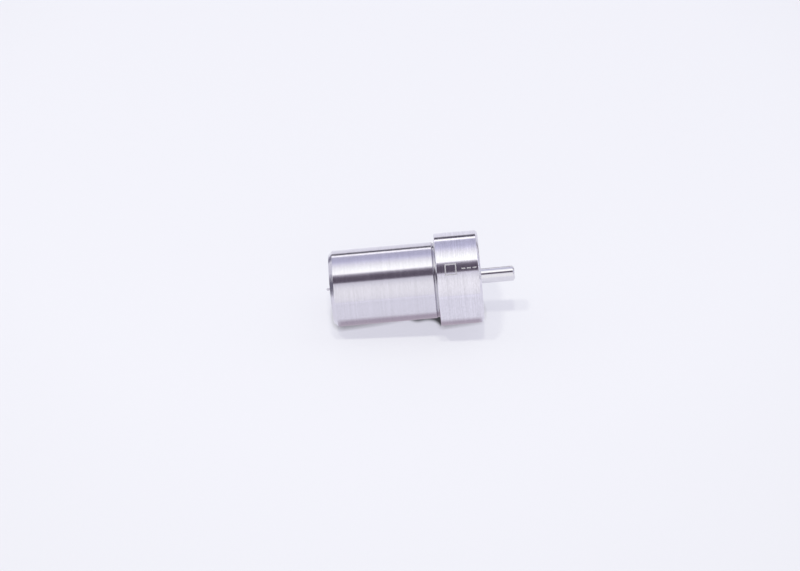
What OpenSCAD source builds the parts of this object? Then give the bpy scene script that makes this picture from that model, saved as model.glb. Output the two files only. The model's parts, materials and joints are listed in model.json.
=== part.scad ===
// Pintle injector nozzle, size S: a nozzle body and its needle valve.
// The nozzle's axis is X: the spray tip points to -X, the pressure pin to +X.
// The origin is the centre of the lapped rear face, and the needle is closed.

/* [Body] */
// Diameter of the plain shank
shank_d = 14; // [13:0.5:15]
// Length of the shank, from the shoulder to the front face
shank_len = 19.5; // [19:0.5:23]
// Diameter of the collar that the retaining nut pulls on
collar_d = 17; // [16.5:0.5:20]
// Length of the collar, from the shoulder to the rear face
collar_len = 8; // [7.5:0.5:11]
// Chamfer on the shank's front edge
tip_chamfer = 0.7; // [0.3:0.1:1.2]
// Chamfer on the collar's rear edge
rear_chamfer = 0.4; // [0.1:0.1:0.8]
// Broken edge on the collar's shoulder
shoulder_chamfer = 0.1; // [0.05:0.05:0.3]
// Radius of the relief cut in the corner under the shoulder
relief_r = 0.4; // [0.3:0.05:0.6]
// Depth of the relief cut below the shank
relief_depth = 0.15; // [0.05:0.05:0.25]

/* [Fuel way] */
// Number of oblique feed passages
feed_count = 3; // [1:1:4]
// Diameter of a feed passage
feed_d = 1.5; // [1.2:0.1:1.6]
// Wall left between a feed passage and the guide bore
feed_wall = 0.6; // [0.5:0.1:0.8]
// Mean diameter of the feed groove in the rear face
groove_d = 10.8; // [10.4:0.1:11.6]
// Width of the feed groove
groove_w = 1.9; // [1.8:0.1:2]
// Depth of the feed groove
groove_depth = 1.1; // [1:0.1:1.5]
// Diameter of the pressure chamber
chamber_d = 9.2; // [8.6:0.1:9.8]
// Length of the pressure chamber
chamber_len = 3.6; // [3.2:0.1:4.2]
// Radius of the pressure chamber's corners
chamber_corner_r = 0.8; // [0.3:0.1:1]

/* [Seat and orifice] */
// Diameter of the bore around the needle's shaft
shaft_bore_d = 4.6; // [4.2:0.1:5]
// Length of the bore around the needle's shaft
shaft_bore_len = 4.9; // [4:0.1:5.4]
// Included angle of the conical seat
seat_angle = 60; // [55:1:65]
// Diameter of the spray orifice
orifice_d = 1; // [0.8:0.1:1.2]
// Length of the spray orifice
orifice_len = 0.8; // [0.6:0.1:1]
// Depth of the conical recess around the orifice
recess_depth = 0.3; // [0.1:0.1:0.5]
// Included angle of the conical recess
recess_angle = 120; // [90:5:130]

/* [Needle] */
// Diameter of the guide bore
guide_bore_d = 6; // [5.5:0.1:6.2]
// Radial running clearance of the needle in the guide bore
guide_clearance = 0.015; // [0.01:0.005:0.05]
// Radial clearance of the pintle in the orifice
pintle_clearance = 0.015; // [0.01:0.005:0.05]
// Gap along the axis between the needle's cone and the seat
seat_gap = 0.02; // [0.01:0.01:0.05]
// Working lift, the depth of the needle's shoulder under the rear face
lift = 0.8; // [0.4:0.1:1.2]
// Diameter of the pressure pin
pin_d = 2.8; // [2.4:0.1:3.4]
// Length of the pressure pin beyond the rear face
pin_len = 6.2; // [4:0.1:8]
// Chamfer on the pressure pin's end
pin_chamfer = 0.3; // [0.1:0.1:0.5]
// Diameter of the needle's shaft
shaft_d = 3.6; // [3.2:0.1:4]
// Included angle of the pressure shoulder
pressure_angle = 90; // [70:5:110]
// Chamfer on the edges of the guide and of its bore
guide_chamfer = 0.25; // [0.1:0.05:0.4]

/* [Pintle] */
// Length of the throttling cylinder that stays in the orifice
throttle_len = 0.55; // [0.4:0.05:0.6]
// Diameter of the pintle's waist
waist_d = 0.4; // [0.3:0.05:0.5]
// Diameter of the flared tip
flare_d = 0.54; // [0.5:0.02:0.7]
// Length of the pintle beyond the front face
tip_out = 0.9; // [0.4:0.05:1.1]

/* [Hidden] */

$fn = 96;

steel = "#cccbd2";
ground_steel = "#dcdbe0";

// how far a cutting shape reaches past the face that it opens
over = 0.5;

shank_r = shank_d / 2;
collar_r = collar_d / 2;
groove_r = groove_d / 2;
guide_bore_r = guide_bore_d / 2;
shaft_bore_r = shaft_bore_d / 2;
chamber_r = chamber_d / 2;
orifice_r = orifice_d / 2;

// places along the axis, from the front face to the rear face at 0
front_x = -(collar_len + shank_len);
orifice_front_x = front_x + recess_depth;
orifice_rear_x = orifice_front_x + orifice_len;
seat_slope = tan(seat_angle / 2);
seat_rear_x = orifice_rear_x + (shaft_bore_r - orifice_r) / seat_slope;
chamber_front_x = seat_rear_x + shaft_bore_len;
chamber_rear_x = chamber_front_x + chamber_len;

// half the width of the relief cut where it breaks the shank's surface
relief_half_w = sqrt(relief_r ^ 2 - (relief_r - relief_depth) ^ 2);

// a feed passage leans inwards, from the groove to the pressure chamber
feed_end_r = guide_bore_r + feed_wall + feed_d / 2;
feed_end_x = (chamber_front_x + chamber_rear_x) / 2;
feed_lean = atan((groove_r - feed_end_r) / -feed_end_x);
feed_run = norm([groove_r - feed_end_r, feed_end_x]);

guide_r = guide_bore_r - guide_clearance;
pin_r = pin_d / 2;
shaft_r = shaft_d / 2;
throttle_r = orifice_r - pintle_clearance;
waist_r = waist_d / 2;
flare_r = flare_d / 2;

// places on the needle, from the tip to the pressure pin's end
tip_x = front_x - tip_out;
cone_front_x = orifice_rear_x + (throttle_r - orifice_r) / seat_slope + seat_gap;
cone_rear_x = orifice_rear_x + (shaft_r - orifice_r) / seat_slope + seat_gap;
throttle_front_x = cone_front_x - throttle_len;
flare_chamfer = 0.08;
waist_rear_x = throttle_front_x - 0.2;
waist_front_x = (waist_rear_x + tip_x) / 2;
guide_overrun = 0.4;
guide_front_x = chamber_rear_x - guide_overrun;
pressure_len = (guide_r - shaft_r) / tan(pressure_angle / 2);

// turns a section, drawn as radius and place along the axis, about X
module turned() {
    rotate([0, 90, 0])
        rotate_extrude()
            children();
}

// takes a 45 degree chamfer of this size off a corner of a section
module corner_cut(size) {
    rotate(45)
        square(size * sqrt(2), center = true);
}

// a section from the axis out to a radius, between two places
module band(radius, from_x, to_x) {
    translate([0, from_x])
        square([radius, to_x - from_x]);
}

module body_outside() {
    difference() {
        union() {
            band(collar_r, -collar_len, 0);
            difference() {
                band(shank_r, front_x, -collar_len);
                translate([shank_r + relief_r - relief_depth, -collar_len - relief_half_w])
                    circle(relief_r);
            }
        }
        translate([collar_r, 0])
            corner_cut(rear_chamfer);
        translate([collar_r, -collar_len])
            corner_cut(shoulder_chamfer);
        translate([shank_r, front_x])
            corner_cut(tip_chamfer);
    }
}

module feed_groove() {
    translate([groove_r, groove_w / 2 - groove_depth])
        circle(groove_w / 2);
    translate([groove_r - groove_w / 2, groove_w / 2 - groove_depth])
        square([groove_w, groove_depth]);
}

module pressure_chamber() {
    band(chamber_r - chamber_corner_r, chamber_front_x, chamber_rear_x);
    band(chamber_r, chamber_front_x + chamber_corner_r, chamber_rear_x - chamber_corner_r);
    for (x = [chamber_front_x + chamber_corner_r, chamber_rear_x - chamber_corner_r])
        translate([chamber_r - chamber_corner_r, x])
            circle(chamber_corner_r);
}

// the needle's way: guide bore, shaft bore, seat, orifice and recess
module needle_way() {
    recess_slope = tan(recess_angle / 2);
    polygon([
        [0, over],
        [guide_bore_r + guide_chamfer + over, over],
        [guide_bore_r, -guide_chamfer],
        [guide_bore_r, feed_end_x],
        [shaft_bore_r, feed_end_x],
        [shaft_bore_r, seat_rear_x],
        [orifice_r, orifice_rear_x],
        [orifice_r, orifice_front_x],
        [orifice_r + (recess_depth + over) * recess_slope, front_x - over],
        [0, front_x - over]
    ]);
}

module feed_passages() {
    for (i = [0 : feed_count - 1])
        rotate([i * 360 / feed_count, 0, 0])
            translate([0, 0, groove_r])
                rotate([0, -90 - feed_lean, 0])
                    cylinder(h = feed_run, d = feed_d);
}

module nozzle_body() {
    color(steel)
        difference() {
            turned()
                difference() {
                    body_outside();
                    needle_way();
                    pressure_chamber();
                    feed_groove();
                }
            feed_passages();
        }
}

module needle() {
    color(ground_steel)
        turned()
            polygon([
                [0, tip_x],
                [flare_r - flare_chamfer, tip_x],
                [flare_r, tip_x + flare_chamfer],
                [waist_r, waist_front_x],
                [waist_r, waist_rear_x],
                [throttle_r, throttle_front_x],
                [throttle_r, cone_front_x],
                [shaft_r, cone_rear_x],
                [shaft_r, guide_front_x - pressure_len],
                [guide_r, guide_front_x],
                [guide_r, -lift - guide_chamfer],
                [guide_r - guide_chamfer, -lift],
                [pin_r, -lift],
                [pin_r, pin_len - pin_chamfer],
                [pin_r - pin_chamfer, pin_len],
                [0, pin_len]
            ]);
}

nozzle_body();
needle();
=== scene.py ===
"""A pintle injector nozzle, its needle closed, lying on a pale table in a plain studio."""
import json
import math

import bmesh
import bpy
from mathutils import Matrix, Vector


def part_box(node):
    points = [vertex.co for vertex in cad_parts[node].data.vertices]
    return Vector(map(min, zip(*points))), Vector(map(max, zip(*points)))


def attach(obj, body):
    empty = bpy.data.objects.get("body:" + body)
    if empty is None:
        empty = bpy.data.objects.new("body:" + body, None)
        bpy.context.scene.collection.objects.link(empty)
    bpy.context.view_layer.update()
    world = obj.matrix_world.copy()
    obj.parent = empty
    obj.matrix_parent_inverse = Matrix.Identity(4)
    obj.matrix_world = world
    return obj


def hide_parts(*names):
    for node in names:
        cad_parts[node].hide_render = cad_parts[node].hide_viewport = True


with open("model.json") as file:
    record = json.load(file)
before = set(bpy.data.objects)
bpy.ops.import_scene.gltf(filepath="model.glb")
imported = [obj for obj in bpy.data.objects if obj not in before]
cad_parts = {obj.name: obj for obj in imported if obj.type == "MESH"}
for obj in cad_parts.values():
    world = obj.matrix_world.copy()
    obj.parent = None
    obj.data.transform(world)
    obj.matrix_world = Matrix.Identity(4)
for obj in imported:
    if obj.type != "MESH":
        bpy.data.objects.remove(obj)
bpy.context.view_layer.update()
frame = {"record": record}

MM = 0.001
scene = bpy.context.scene


# ---------------------------------------------------------------- sizes, in millimetres

def mount(name):
    """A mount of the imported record, by its name."""
    return next(m for m in frame["record"]["mounts"] if m["name"] == name)


body_low, body_high = (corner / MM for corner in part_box("nozzle_body"))
needle_low, needle_high = (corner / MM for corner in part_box("needle"))

COLLAR_R = body_high.z
SHANK_R = mount("shank")["dims"]["r_mm"]
PIN_R = mount("pressure_pin")["dims"]["r_mm"]
SHOULDER_X = mount("collar_shoulder")["pos_m"][0] / MM
FRONT_X = body_low.x
TIP_X = needle_low.x
PIN_END_X = needle_high.x

# the CAD's own sizes, which the record doesn't give
TIP_CHAMFER = 0.7
REAR_CHAMFER = 0.4
SHOULDER_CHAMFER = 0.1
RELIEF_R = 0.4
RELIEF_DEPTH = 0.15

GROOVE_R = 5.4
GROOVE_HALF_W = 0.95
GROOVE_DEPTH = 1.1
FEED_COUNT = 3
FEED_R = 0.75
FEED_WALL = 0.6
CHAMBER_R = 4.6
CHAMBER_LEN = 3.6
CHAMBER_CORNER_R = 0.8
SHAFT_BORE_R = 2.3
SHAFT_BORE_LEN = 4.9
ORIFICE_R = 0.5
ORIFICE_LEN = 0.8
RECESS_DEPTH = 0.3
RECESS_SLOPE = math.tan(math.radians(60))
SEAT_SLOPE = math.tan(math.radians(30))

GUIDE_BORE_R = 3.0
GUIDE_R = 2.985
GUIDE_CHAMFER = 0.25
SHAFT_R = 1.8
THROTTLE_R = 0.485
THROTTLE_LEN = 0.55
WAIST_R = 0.2
WAIST_CONE_LEN = 0.2
FLARE_R = 0.27
FLARE_CHAMFER = 0.08
SEAT_GAP = 0.02
LIFT = 0.8
PIN_CHAMFER = 0.3
GUIDE_OVERRUN = 0.4

# how many steps a round shape is made of
LATHE_STEPS = 192
DRILL_STEPS = 48
GROOVE_STEPS = 16
RELIEF_STEPS = 10
EASE_STEPS = 4
# edges are sharp where faces meet at more than this
SHARP_FROM = math.radians(35)

# the etched mark: where its square's centre is along the axis and round it, from the top
# towards the viewer, half the square's side, the row of dashes after it, and half the
# width of their strokes
MARK_X = SHOULDER_X + 2.6
MARK_TURN = math.radians(34)
SQUARE_HALF = 0.95
ROW_MIDDLE = 3.3
ROW_HALF = 1.35
DASH_START = 1.95
DASH_PART = 0.7
SQUARE_HALF_STROKE = 0.1
DASH_HALF_STROKE = 0.11

# places along the axis
ORIFICE_REAR_X = FRONT_X + RECESS_DEPTH + ORIFICE_LEN
SEAT_REAR_X = ORIFICE_REAR_X + (SHAFT_BORE_R - ORIFICE_R) / SEAT_SLOPE
CHAMBER_FRONT_X = SEAT_REAR_X + SHAFT_BORE_LEN
CHAMBER_REAR_X = CHAMBER_FRONT_X + CHAMBER_LEN
CHAMBER_MID_X = (CHAMBER_FRONT_X + CHAMBER_REAR_X) / 2

# ---------------------------------------------------------------- how it lies on the table

# the collar's edge and the edge of the shank's chamfer touch the table
TILT = math.atan2(COLLAR_R - SHANK_R, SHOULDER_X - (FRONT_X + TIP_CHAMFER))
# how far the nozzle is turned on the table, away from square to the viewer
YAW = math.radians(2.63)
lie = Matrix.Rotation(YAW, 4, "Z") @ Matrix.Rotation(-TILT, 4, "Y")
# from the table's axes (X to the right, Y away, Z up) to the frame's
from_table = lie.inverted()
to_right, away, up = (from_table.to_3x3() @ Vector(v) for v in ((1, 0, 0), (0, 1, 0), (0, 0, 1)))
# where the collar's edge touches the table
touch = Vector((SHOULDER_X, 0, -COLLAR_R)) * MM


def on_table(x, y, z):
    """A place given in millimetres from where the collar touches the table, in the frame."""
    return touch + from_table.to_3x3() @ (Vector((x, y, z)) * MM)


# ---------------------------------------------------------------- turned shapes

def arc(centre_x, centre_r, radius, start, end, steps):
    """Points of a section's arc, angles in degrees from +X towards a growing radius."""
    turns = [math.radians(start + (end - start) * i / steps) for i in range(steps + 1)]
    return [(centre_x + radius * math.cos(a), centre_r + radius * math.sin(a), 0) for a in turns]


def eased(points, closed):
    """The outline with each corner (x, r, ease) rounded by its ease, a radius in millimetres."""
    outline = []
    count = len(points)
    for i, (x, r, ease) in enumerate(points):
        here = Vector((x, r))
        if ease == 0 or (not closed and i in (0, count - 1)):
            outline.append(here)
            continue
        back = (Vector(points[i - 1][:2]) - here).normalized()
        on = (Vector(points[(i + 1) % count][:2]) - here).normalized()
        half = back.angle(on) / 2
        centre = here + (back + on).normalized() * (ease / math.sin(half))
        first = here + back * (ease / math.tan(half)) - centre
        turn = (here + on * (ease / math.tan(half)) - centre).angle_signed(first)
        for k in range(EASE_STEPS + 1):
            a = turn * k / EASE_STEPS
            spoke = Vector((first.x * math.cos(a) - first.y * math.sin(a),
                            first.x * math.sin(a) + first.y * math.cos(a)))
            outline.append(centre + spoke)
    return outline


def lathe(name, outline, closed):
    """A solid turned about X from an outline of (x, r), with a pole where r is 0."""
    verts, rings = [], []
    for x, r in outline:
        if r < 1e-6:
            rings.append([len(verts)])
            verts.append((x * MM, 0, 0))
            continue
        rings.append(list(range(len(verts), len(verts) + LATHE_STEPS)))
        for k in range(LATHE_STEPS):
            a = 2 * math.pi * k / LATHE_STEPS
            verts.append((x * MM, r * MM * math.cos(a), r * MM * math.sin(a)))
    faces = []
    next_rings = rings[1:] + rings[:1] if closed else rings[1:]
    for a, b in zip(rings, next_rings):
        for k in range(LATHE_STEPS):
            n = (k + 1) % LATHE_STEPS
            corners = [a[k % len(a)], b[k % len(b)], b[n % len(b)], a[n % len(a)]]
            faces.append(list(dict.fromkeys(corners)))
    mesh = bpy.data.meshes.new(name)
    mesh.from_pydata(verts, [], faces)
    mesh.validate()
    obj = bpy.data.objects.new(name, mesh)
    scene.collection.objects.link(obj)
    return obj


def face_outwards(obj):
    """Turns every face's normal out of the solid."""
    bm = bmesh.new()
    bm.from_mesh(obj.data)
    bmesh.ops.recalc_face_normals(bm, faces=bm.faces)
    bm.to_mesh(obj.data)
    bm.free()


def smooth(obj):
    """Shades smoothly between the sharp edges, with the large faces kept flat."""
    obj.data.shade_smooth()
    obj.data.set_sharp_from_angle(angle=SHARP_FROM)
    weigh = obj.modifiers.new("weigh", "WEIGHTED_NORMAL")
    weigh.keep_sharp = True
    weigh.weight = 100


def body_outline():
    """The body's section as (x, r, ease), from the rear edge round the outside and the bores."""
    half_relief = math.sqrt(RELIEF_R ** 2 - (RELIEF_R - RELIEF_DEPTH) ** 2)
    relief_x = SHOULDER_X - half_relief
    relief_turn = math.degrees(math.acos(half_relief / RELIEF_R))
    groove_x = GROOVE_HALF_W - GROOVE_DEPTH
    return [
        (0, COLLAR_R - REAR_CHAMFER, 0.06),
        (-REAR_CHAMFER, COLLAR_R, 0.08),
        (SHOULDER_X + SHOULDER_CHAMFER, COLLAR_R, 0.05),
        (SHOULDER_X, COLLAR_R - SHOULDER_CHAMFER, 0.05),
        *arc(relief_x, SHANK_R + RELIEF_R - RELIEF_DEPTH, RELIEF_R,
             -relief_turn, relief_turn - 180, RELIEF_STEPS),
        (FRONT_X + TIP_CHAMFER, SHANK_R, 0.08),
        (FRONT_X, SHANK_R - TIP_CHAMFER, 0.12),
        (FRONT_X, ORIFICE_R + RECESS_DEPTH * RECESS_SLOPE, 0.04),
        (FRONT_X + RECESS_DEPTH, ORIFICE_R, 0.03),
        (ORIFICE_REAR_X, ORIFICE_R, 0.02),
        (SEAT_REAR_X, SHAFT_BORE_R, 0.1),
        (CHAMBER_FRONT_X, SHAFT_BORE_R, 0.06),
        (CHAMBER_FRONT_X, CHAMBER_R, CHAMBER_CORNER_R),
        (CHAMBER_REAR_X, CHAMBER_R, CHAMBER_CORNER_R),
        (CHAMBER_REAR_X, GUIDE_BORE_R, 0.05),
        (-GUIDE_CHAMFER, GUIDE_BORE_R, 0.05),
        (0, GUIDE_BORE_R + GUIDE_CHAMFER, 0.05),
        (0, GROOVE_R - GROOVE_HALF_W, 0.05),
        *arc(groove_x, GROOVE_R, GROOVE_HALF_W, 270, 90, GROOVE_STEPS),
        (0, GROOVE_R + GROOVE_HALF_W, 0.05),
    ]


def needle_outline():
    """The needle's section as (x, r, ease), from the tip of the pintle to the pressure pin."""
    cone_front_x = ORIFICE_REAR_X + (THROTTLE_R - ORIFICE_R) / SEAT_SLOPE + SEAT_GAP
    cone_rear_x = ORIFICE_REAR_X + (SHAFT_R - ORIFICE_R) / SEAT_SLOPE + SEAT_GAP
    throttle_x = cone_front_x - THROTTLE_LEN
    waist_rear_x = throttle_x - WAIST_CONE_LEN
    guide_x = CHAMBER_REAR_X - GUIDE_OVERRUN
    return [
        (TIP_X, 0, 0),
        (TIP_X, FLARE_R - FLARE_CHAMFER, 0.02),
        (TIP_X + FLARE_CHAMFER, FLARE_R, 0.02),
        ((waist_rear_x + TIP_X) / 2, WAIST_R, 0.1),
        (waist_rear_x, WAIST_R, 0.1),
        (throttle_x, THROTTLE_R, 0.02),
        (cone_front_x, THROTTLE_R, 0.04),
        (cone_rear_x, SHAFT_R, 0.08),
        (guide_x - (GUIDE_R - SHAFT_R), SHAFT_R, 0.15),
        (guide_x, GUIDE_R, 0.05),
        (-LIFT - GUIDE_CHAMFER, GUIDE_R, 0.06),
        (-LIFT, GUIDE_R - GUIDE_CHAMFER, 0.06),
        (-LIFT, PIN_R, 0.06),
        (PIN_END_X - PIN_CHAMFER, PIN_R, 0.06),
        (PIN_END_X, PIN_R - PIN_CHAMFER, 0.08),
        (PIN_END_X, 0, 0),
    ]


def drill_feeds(body):
    """Cuts the oblique passages from the feed groove to the pressure chamber."""
    end_r = GUIDE_BORE_R + FEED_WALL + FEED_R
    for i in range(FEED_COUNT):
        turn = Matrix.Rotation(2 * math.pi * i / FEED_COUNT, 4, "X")
        start = turn @ Vector((0, 0, GROOVE_R))
        end = turn @ Vector((CHAMBER_MID_X, 0, end_r))
        bpy.ops.mesh.primitive_cylinder_add(
            vertices=DRILL_STEPS, radius=FEED_R * MM, depth=(end - start).length * MM)
        drill = bpy.context.object
        drill.location = (start + end) / 2 * MM
        drill.rotation_mode = "QUATERNION"
        drill.rotation_quaternion = (start - end).to_track_quat("Z", "Y")
        cut = body.modifiers.new("feed", "BOOLEAN")
        cut.operation = "DIFFERENCE"
        cut.object = drill
        cut.solver = "EXACT"
        bpy.context.view_layer.objects.active = body
        bpy.ops.object.modifier_apply(modifier=cut.name)
        bpy.data.objects.remove(drill)


# ---------------------------------------------------------------- materials

class Graph:
    """Small helper that adds and links the nodes of one material or world."""

    def __init__(self, owner):
        owner.use_nodes = True
        self.tree = owner.node_tree
        self.tree.nodes.clear()

    def add(self, kind, inputs=None, **settings):
        node = self.tree.nodes.new(kind)
        for key, value in settings.items():
            setattr(node, key, value)
        for key, value in (inputs or {}).items():
            if isinstance(value, bpy.types.NodeSocket):
                self.tree.links.new(value, node.inputs[key])
            else:
                node.inputs[key].default_value = value
        return node

    def math(self, operation, *values, clamp=False):
        inputs = dict(enumerate(values))
        return self.add("ShaderNodeMath", inputs, operation=operation, use_clamp=clamp).outputs[0]

    def smoothstep(self, value, start, end, low=0.0, high=1.0):
        inputs = {0: value, 1: start, 2: end, 3: low, 4: high}
        node = self.add("ShaderNodeMapRange", inputs, interpolation_type="SMOOTHSTEP")
        return node.outputs[0]

    def mixed(self, factor, a, b):
        return self.add("ShaderNodeMix", {0: factor, 2: a, 3: b}, data_type="FLOAT").outputs[0]

    def scaled(self, colour, by):
        node = self.add("ShaderNodeVectorMath", {0: colour, "Scale": by}, operation="SCALE")
        return node.outputs[0]

    def object_place(self):
        return self.add("ShaderNodeTexCoord").outputs["Object"]

    def parts(self, vector):
        return self.add("ShaderNodeSeparateXYZ", {0: vector}).outputs

    def dot(self, a, b):
        node = self.add("ShaderNodeVectorMath", {0: a, 1: b}, operation="DOT_PRODUCT")
        return node.outputs["Value"]

    def ramp(self, factor, stops):
        node = self.add("ShaderNodeValToRGB", {"Fac": factor})
        elements = node.color_ramp.elements
        while len(elements) > 1:
            elements.remove(elements[-1])
        elements[0].position = stops[0][0]
        elements[0].color = (*stops[0][1], 1)
        for place, colour in stops[1:]:
            elements.new(place).color = (*colour, 1)
        return node.outputs["Color"]


# the steel's patterns: noise cells a metre across the lines, the same round them, and detail
FINE_LINES = (5000, 90, 3)
BROAD_LINES = (1300, 60, 2)
GRAIN = (4000, 1500, 2)
LINE_ROUGHNESS = 0.65
FINE_SHARE = 0.65
BROAD_SHARE = 0.35
SPECK_SHARE = 0.5
CLOUD_SCALE = 220
# a face is flat, with rings on it, where its normal's X is more than this either way
FLAT_FROM = 0.85
# what the collar's finer grind, the painted shade in the relief groove and the etching change
COLLAR_BRIGHTER = 0.05
COLLAR_SMOOTHER = 0.04
RELIEF_SHADE_DARKER = 0.26
ETCHED_COLOUR = (0.95, 0.94, 0.97, 1)
ETCHED_ROUGHER = 0.65
# how the roughness varies with the clouds and with the lines
CLOUD_VARIES = 0.06
LINE_VARIES = 0.12
GRAIN_BUMP = 2.0
BUMP_DISTANCE = 2e-6
# the highlights are drawn out across the lines, a quarter turn from the tangent
ACROSS_LINES = 0.25
# where the relief groove's painted shade is: from x, to x just past the shoulder's face, and
# inside a radius just below the shank's
RELIEF_SHADE_PLACE = ((SHOULDER_X - 2 * RELIEF_R) * MM, (SHOULDER_X + 0.005) * MM, (SHANK_R - 0.01) * MM)


def etched_mark(g, x, y, z):
    """A plain square and three dashes, etched on the collar's side: 1 inside the strokes."""
    along = g.math("MULTIPLY_ADD", x, 1 / MM, -MARK_X)
    turn = g.math("ARCTAN2", g.math("MULTIPLY", y, -1), z)
    around = g.math("MULTIPLY", g.math("SUBTRACT", turn, MARK_TURN), COLLAR_R)
    around = g.math("ABSOLUTE", around)
    from_middle = g.math("MAXIMUM", g.math("ABSOLUTE", along), around)
    square = g.math("COMPARE", from_middle, SQUARE_HALF, SQUARE_HALF_STROKE)
    in_row = g.math("COMPARE", along, ROW_MIDDLE, ROW_HALF)
    dash = g.math("FRACT", g.math("SUBTRACT", along, DASH_START))
    in_dash = g.math("LESS_THAN", dash, DASH_PART)
    dashes = g.math("MULTIPLY", g.math("MULTIPLY", in_row, in_dash),
                    g.math("LESS_THAN", around, DASH_HALF_STROKE))
    on_side = g.math("GREATER_THAN", x, SHOULDER_X * MM)
    return g.math("MULTIPLY", g.math("MAXIMUM", square, dashes), on_side)


def steel(name, colour, roughness, anisotropy, streak, bump, finer_from=None, relief_shade_place=None,
          etched=False):
    """Turned and ground steel: fine lines round the axis, rings on the flat faces."""
    material = bpy.data.materials.new(name)
    g = Graph(material)
    place = g.object_place()
    x, y, z = g.parts(place)
    squared = g.math("ADD", g.math("MULTIPLY", y, y), g.math("MULTIPLY", z, z))
    radius = g.math("POWER", squared, 0.5)
    normal = g.add("ShaderNodeNewGeometry").outputs["Normal"]
    local = g.add("ShaderNodeVectorTransform", {0: normal}, vector_type="NORMAL",
                  convert_from="WORLD", convert_to="OBJECT").outputs[0]
    flat = g.math("GREATER_THAN", g.math("ABSOLUTE", g.parts(local)[0]), FLAT_FROM)
    across = g.mixed(flat, x, radius)

    def lines(per_metre, round_scale, detail):
        where = g.add("ShaderNodeCombineXYZ", {
            0: g.math("MULTIPLY", across, per_metre),
            1: g.math("MULTIPLY", y, round_scale),
            2: g.math("MULTIPLY", z, round_scale)})
        noise = g.add("ShaderNodeTexNoise", {"Vector": where.outputs[0], "Scale": 1.0,
                                             "Detail": detail, "Roughness": LINE_ROUGHNESS})
        return noise.outputs["Fac"]

    fine = g.math("MULTIPLY", lines(*FINE_LINES), FINE_SHARE)
    broad = g.math("MULTIPLY", lines(*BROAD_LINES), BROAD_SHARE)
    both = g.math("ADD", fine, broad)
    centred = g.math("SUBTRACT", both, 0.5)
    grain = lines(*GRAIN)
    speck = g.math("SUBTRACT", grain, 0.5)
    clouds = g.add("ShaderNodeTexNoise", {"Vector": place, "Scale": CLOUD_SCALE, "Detail": 2})
    cloud = g.math("SUBTRACT", clouds.outputs["Fac"], 0.5)

    # the collar is ground finer, with twice the contrast from line to line
    finer = 0.0 if finer_from is None else g.math("GREATER_THAN", x, finer_from)
    depth = g.math("MULTIPLY_ADD", finer, streak, streak)
    pattern = g.math("MULTIPLY_ADD", speck, SPECK_SHARE, centred)
    brighter = g.math("MULTIPLY_ADD", finer, COLLAR_BRIGHTER, 1.0)
    shade = g.math("MULTIPLY_ADD", pattern, depth, brighter)
    # painted shade: the relief groove at the shoulder is darkened, standing in for the shade and
    # dark reflections in that recess
    if relief_shade_place:
        low_x, high_x, top_r = relief_shade_place
        beside = g.math("COMPARE", x, (low_x + high_x) / 2, (high_x - low_x) / 2)
        relief_shade = g.math("MULTIPLY", beside, g.math("LESS_THAN", radius, top_r))
        shade = g.math("MULTIPLY", shade, g.math("MULTIPLY_ADD", relief_shade, -RELIEF_SHADE_DARKER, 1.0))
    tint = g.scaled(colour, shade)
    vary = g.math("ADD", g.math("MULTIPLY", cloud, CLOUD_VARIES),
                  g.math("MULTIPLY", centred, LINE_VARIES))
    rough = g.math("MULTIPLY_ADD", finer, -COLLAR_SMOOTHER, roughness)
    rough = g.math("ADD", rough, vary, clamp=True)
    if etched:
        mark = etched_mark(g, x, y, z)
        tint = g.add("ShaderNodeMix", {0: mark, 6: tint, 7: ETCHED_COLOUR},
                     data_type="RGBA").outputs[2]
        rough = g.math("MULTIPLY_ADD", mark, ETCHED_ROUGHER, rough, clamp=True)
    relief = g.math("ADD", both, g.math("MULTIPLY", grain, GRAIN_BUMP))
    height = g.add("ShaderNodeBump", {"Height": relief, "Strength": bump,
                                      "Distance": BUMP_DISTANCE})
    tangent = g.add("ShaderNodeTangent", direction_type="RADIAL", axis="X")
    shader = g.add("ShaderNodeBsdfPrincipled", {
        "Base Color": tint, "Metallic": 1.0, "Roughness": rough,
        "Anisotropic": anisotropy, "Anisotropic Rotation": ACROSS_LINES,
        "Normal": height.outputs[0], "Tangent": tangent.outputs[0]})
    g.add("ShaderNodeOutputMaterial", {0: shader.outputs[0]})
    return material


# how bright the table's painted glow is, by the distance in metres from a place behind the nozzle:
# painted shade in the dip at about 12 cm, painted light rising further off
TABLE_GLOW = [(0.0, 1.0), (0.08, 1.0), (0.125, 0.95), (0.16, 1.02), (0.2, 1.11), (0.3, 1.15),
              (0.6, 1.20), (1.0, 1.22)]
GLOW_FROM = (-8 * MM, 47 * MM, 0)
# a ramp holds colours up to 1, so the glow is halved in it and doubled after it
GLOW_RANGE = 2.0
TABLE_BASE = (0.25, 0.25, 0.255)
GLOW_COLOUR = (0.55, 0.548, 0.625, 1)
# how far the table looks for something that shades it
SHADE_REACH = 1.3 * MM

# the painted contact shadow under the nozzle, in millimetres on the table from the collar's edge:
# how far it reaches at the shoulder's corner and how fast that fades, its bulge under the shank,
# the half width of the strip near the collar and near the tip, and where the strip ends
CORNER_REACH = 1.6
CORNER_FADE = 0.9
BULGE_REACH = 0.55
BULGE_AT = 4.3
BULGE_WIDTH = 1.4
STRIP_WIDE, STRIP_NARROW = 2.65, 1.7
NARROWS_FROM, NARROWS_TO = 4.5, 10.0
FRONT_END = (21.0, 16.0)
REAR_END = (-7.0, -1.0)
# the fade across the painted shadow's edge, and the light that is left inside it
EDGE_FADE = (-1.3, -0.05)
DARKEST = 0.12


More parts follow.
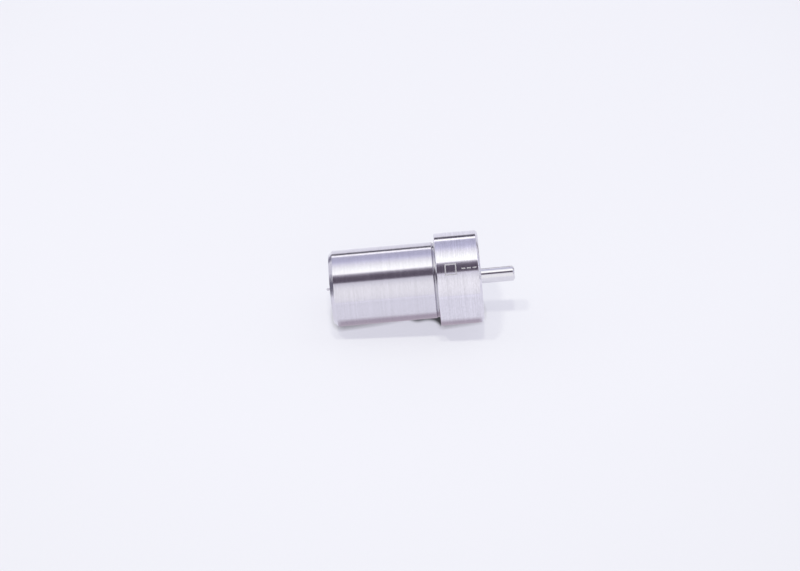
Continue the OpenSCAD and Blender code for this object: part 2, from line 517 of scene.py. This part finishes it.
def painted_contact_shadow(g, place):
    """A painted contact shadow: how much light is left under the nozzle, least in the corner at
    the collar's shoulder.
    """
    x, y = g.parts(place)[:2]
    to_tip = g.math("DIVIDE", x, -MM)
    across = g.math("DIVIDE", g.math("ABSOLUTE", y), MM)
    corner = g.math("EXPONENT", g.math("DIVIDE", g.math("ABSOLUTE", to_tip), -CORNER_FADE))
    corner = g.math("MULTIPLY", corner, CORNER_REACH)
    bulge = g.math("DIVIDE", g.math("SUBTRACT", to_tip, BULGE_AT), BULGE_WIDTH)
    bulge = g.math("EXPONENT", g.math("MULTIPLY", bulge, g.math("MULTIPLY", bulge, -1)))
    strip = g.smoothstep(to_tip, NARROWS_FROM, NARROWS_TO, STRIP_WIDE, STRIP_NARROW)
    reach = g.math("ADD", corner, g.math("MULTIPLY_ADD", bulge, BULGE_REACH, strip))
    ends = g.math("MULTIPLY", g.smoothstep(to_tip, *FRONT_END), g.smoothstep(to_tip, *REAR_END))
    outside = g.math("SUBTRACT", across, g.math("MULTIPLY", reach, ends))
    return g.smoothstep(outside, *EDGE_FADE, DARKEST, 1.0)


def table_top():
    """A pale sheet with a painted glow of its own, lost where the nozzle is close to it and under
    the painted contact shadow.
    """
    material = bpy.data.materials.new("table_top")
    g = Graph(material)
    place = g.object_place()
    away_from = g.add("ShaderNodeVectorMath", {0: place, 1: GLOW_FROM}, operation="DISTANCE")
    stops = [(at, (glow / GLOW_RANGE,) * 3) for at, glow in TABLE_GLOW]
    spread = g.math("MULTIPLY", g.ramp(away_from.outputs["Value"], stops), GLOW_RANGE)
    open_sky = g.add("ShaderNodeAmbientOcclusion", {"Distance": SHADE_REACH}, samples=3)
    # painted shade: the contact shadow under the nozzle darkens both the table's colour and its
    # glow
    painted_shadow_factor = painted_contact_shadow(g, place)
    # painted light: the table's own glow, dimmed by the occlusion and by the painted contact
    # shadow
    glow = g.math("MULTIPLY", spread, g.math("MULTIPLY", open_sky.outputs["AO"], painted_shadow_factor))
    shader = g.add("ShaderNodeBsdfPrincipled", {
        "Base Color": g.scaled(TABLE_BASE, painted_shadow_factor), "Roughness": 0.5, "Specular IOR Level": 0.0,
        "Emission Color": GLOW_COLOUR, "Emission Strength": glow})
    g.add("ShaderNodeOutputMaterial", {0: shader.outputs[0]})
    return material


# ---------------------------------------------------------------- studio

# what the steel mirrors round the table, by the angle from straight up towards the viewer:
# the floor behind, a dark edge and a bright one, the panels behind, the lamp box overhead,
# the gap in front of it and the pale front wall; degrees, and colours of linear light
SURROUNDINGS = [
    (-180, (0.90, 0.90, 0.94)),
    (-86, (0.90, 0.90, 0.94)),
    (-84, (0.10, 0.09, 0.12)),
    (-74, (0.10, 0.09, 0.12)),
    (-72.5, (1.6, 1.6, 1.6)),
    (-66.5, (1.6, 1.6, 1.6)),
    (-64, (0.54, 0.54, 0.68)),
    (-52, (0.57, 0.57, 0.72)),
    (-43, (0.62, 0.62, 0.78)),
    (-35, (0.80, 0.80, 0.94)),
    (-27, (1.00, 1.00, 1.06)),
    (-20, (1.14, 1.15, 1.15)),
    (-12, (1.30, 1.33, 1.28)),
    (3, (1.50, 1.52, 1.45)),
    (4.5, (0.64, 0.62, 0.70)),
    (9, (0.25, 0.22, 0.28)),
    (14, (0.125, 0.105, 0.14)),
    (29.5, (0.125, 0.105, 0.14)),
    (31.5, (0.80, 0.78, 0.86)),
    (36, (0.88, 0.88, 0.93)),
    (50, (1.05, 1.05, 1.06)),
    (68, (1.05, 1.05, 1.06)),
    (80, (1.0, 1.0, 1.02)),
    (89, (0.95, 0.95, 0.98)),
    (180, (0.90, 0.90, 0.94)),
]
BRIGHTEST = 1.6
BACKDROP = (0.905, 0.913, 0.956, 1)
# towards the left, the gap in front of the lamp box opens wider: where it starts to and
# has, as parts of the way to the side, and how much the angles are squeezed there
GAP_WIDENS = (-0.25, -0.7)
GAP_SQUEEZE = 0.45


def surroundings():
    """A studio of plain bands for the steel to mirror, behind a plain pale backdrop."""
    world = bpy.data.worlds.new("studio")
    scene.world = world
    g = Graph(world)
    way = g.add("ShaderNodeTexCoord").outputs["Generated"]
    rightwards = g.dot(way, tuple(to_right))
    towards = g.math("MULTIPLY", g.dot(way, tuple(away)), -1)
    angle = g.math("ARCTAN2", towards, g.dot(way, tuple(up)))
    squeeze = g.smoothstep(rightwards, *GAP_WIDENS, 1.0, GAP_SQUEEZE)
    in_front = g.math("GREATER_THAN", angle, 0.0)
    angle = g.math("MULTIPLY", angle, g.mixed(in_front, 1.0, squeeze))
    turned = g.math("ADD", g.math("DIVIDE", angle, 2 * math.pi), 0.5)
    stops = [((a + 180) / 360, tuple(c / BRIGHTEST for c in colour))
             for a, colour in SURROUNDINGS]
    mirrored = g.add("ShaderNodeBackground", {0: g.ramp(turned, stops), 1: BRIGHTEST})
    backdrop = g.add("ShaderNodeBackground", {0: BACKDROP, 1: 1.0})
    seen = g.add("ShaderNodeLightPath").outputs["Is Camera Ray"]
    light = g.add("ShaderNodeMixShader", {0: seen, 1: mirrored.outputs[0], 2: backdrop.outputs[0]})
    g.add("ShaderNodeOutputWorld", {0: light.outputs[0]})


TABLE_R = 4
TABLE_STEPS = 96


def table():
    """The round table top that the nozzle lies on."""
    bpy.ops.mesh.primitive_circle_add(vertices=TABLE_STEPS, radius=TABLE_R, fill_type="NGON")
    top = bpy.context.object
    top.name = "table"
    top.matrix_world = Matrix.Translation(touch) @ from_table
    top.data.materials.append(table_top())


def flag_or_painted_shade(name, place, width, height, colour, soft, turned=0, laid=False):
    """A card standing or laid near the nozzle, that only the steel mirrors: a dark studio flag, or
    a laid sheet of painted shade.

    Its sizes are millimetres, and soft is the part of each side that fades out."""
    bpy.ops.mesh.primitive_plane_add(size=1)
    card = bpy.context.object
    card.name = name
    card.matrix_world = (Matrix.Translation(on_table(*place)) @ from_table
                         @ Matrix.Rotation(math.radians(turned), 4, "Z")
                         @ Matrix.Rotation(math.radians(0 if laid else 90), 4, "Y")
                         @ Matrix.Diagonal((height * MM, width * MM, 1, 1)))
    material = bpy.data.materials.new(name)
    g = Graph(material)
    sides = g.parts(g.object_place())[:2]
    inset = [g.smoothstep(g.math("ABSOLUTE", side), 0.5, 0.5 - part)
             for side, part in zip(sides, soft)]
    shader = g.add("ShaderNodeMixShader", {
        0: g.math("MULTIPLY", *inset),
        1: g.add("ShaderNodeBsdfTransparent").outputs[0],
        2: g.add("ShaderNodeEmission", {0: (*colour, 1), 1: 1.0}).outputs[0]})
    g.add("ShaderNodeOutputMaterial", {0: shader.outputs[0]})
    card.data.materials.append(material)
    card.visible_camera = False
    card.visible_diffuse = False
    card.visible_shadow = False


def look(obj, place, target):
    """Puts a lamp or the camera at a place, looking at the target and level with the table."""
    back = (place - target).normalized()
    right = (to_right - back * back.dot(to_right)).normalized()
    obj.location = place
    obj.rotation_mode = "QUATERNION"
    obj.rotation_quaternion = Matrix((right, back.cross(right), back)).transposed().to_quaternion()


LAMP_SIZE = 0.05
LAMP_POWER = 1.56
LAMP_COLOUR = (0.98, 1.0, 0.84)


def lamp(name, place):
    """A small soft lamp high over the table, turned towards the nozzle."""
    data = bpy.data.lights.new(name, "AREA")
    data.shape = "RECTANGLE"
    data.size = data.size_y = LAMP_SIZE
    data.energy = LAMP_POWER
    data.color = LAMP_COLOUR
    obj = bpy.data.objects.new(name, data)
    scene.collection.objects.link(obj)
    look(obj, place, touch)
    obj.visible_glossy = False


CAMERA_ELEVATION = math.radians(45)
CAMERA_DISTANCE = 419
# the place on the table at the middle of the view
AIM_X, AIM_Y = -7.52, 6.93


def camera():
    """A long lens 42 cm away, 45 degrees above the table."""
    data = bpy.data.cameras.new("camera")
    data.lens = 100
    data.sensor_width = 36
    data.clip_start, data.clip_end = 0.01, 20
    obj = bpy.data.objects.new("camera", data)
    scene.collection.objects.link(obj)
    place = on_table(AIM_X, AIM_Y - CAMERA_DISTANCE * math.cos(CAMERA_ELEVATION),
                     CAMERA_DISTANCE * math.sin(CAMERA_ELEVATION))
    look(obj, place, on_table(AIM_X, AIM_Y, 0))
    scene.camera = obj


# ---------------------------------------------------------------- assembly

camera()
surroundings()
lamp("lamp_middle", on_table(-10, -85, 690))
lamp("lamp_left", on_table(-185, -85, 670))
table()
flag_or_painted_shade("flag_left", (-44.5, -3.25, 10.5), 18, 17, (0.17, 0.16, 0.21), (0.12, 0.12))
flag_or_painted_shade("flag_behind", (-37.5, 24.5, 8), 14, 18, (0.2, 0.19, 0.26), (0.3, 0.3), turned=-56)
# painted shade: a dark sheet laid on the table under and in front of the nozzle, mirrored only by
# the steel's lower rim, standing in for the table's shade there
flag_or_painted_shade("painted_shade_sheet", (-5.5, -4.6, 0.05), 12.5, 28, (0.48, 0.42, 0.49), (0.05, 0.3), turned=2.6,
     laid=True)

body = lathe("body_turned", eased(body_outline(), closed=True), closed=True)
face_outwards(body)
drill_feeds(body)
smooth(body)
body.data.materials.append(steel(
    "body_steel", (0.71, 0.69, 0.76), roughness=0.21, anisotropy=0.9, streak=0.26, bump=0.8,
    finer_from=SHOULDER_X * MM, relief_shade_place=RELIEF_SHADE_PLACE, etched=True))
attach(body, "nozzle_body")
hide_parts("nozzle_body")

needle = lathe("needle_turned", eased(needle_outline(), closed=False), closed=False)
face_outwards(needle)
smooth(needle)
needle.data.materials.append(steel(
    "needle_steel", (0.76, 0.745, 0.79), roughness=0.14, anisotropy=0.5, streak=0.12, bump=0.1))
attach(needle, "needle")
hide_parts("needle")

scene.view_settings.view_transform = "Standard"
scene.view_settings.look = "None"
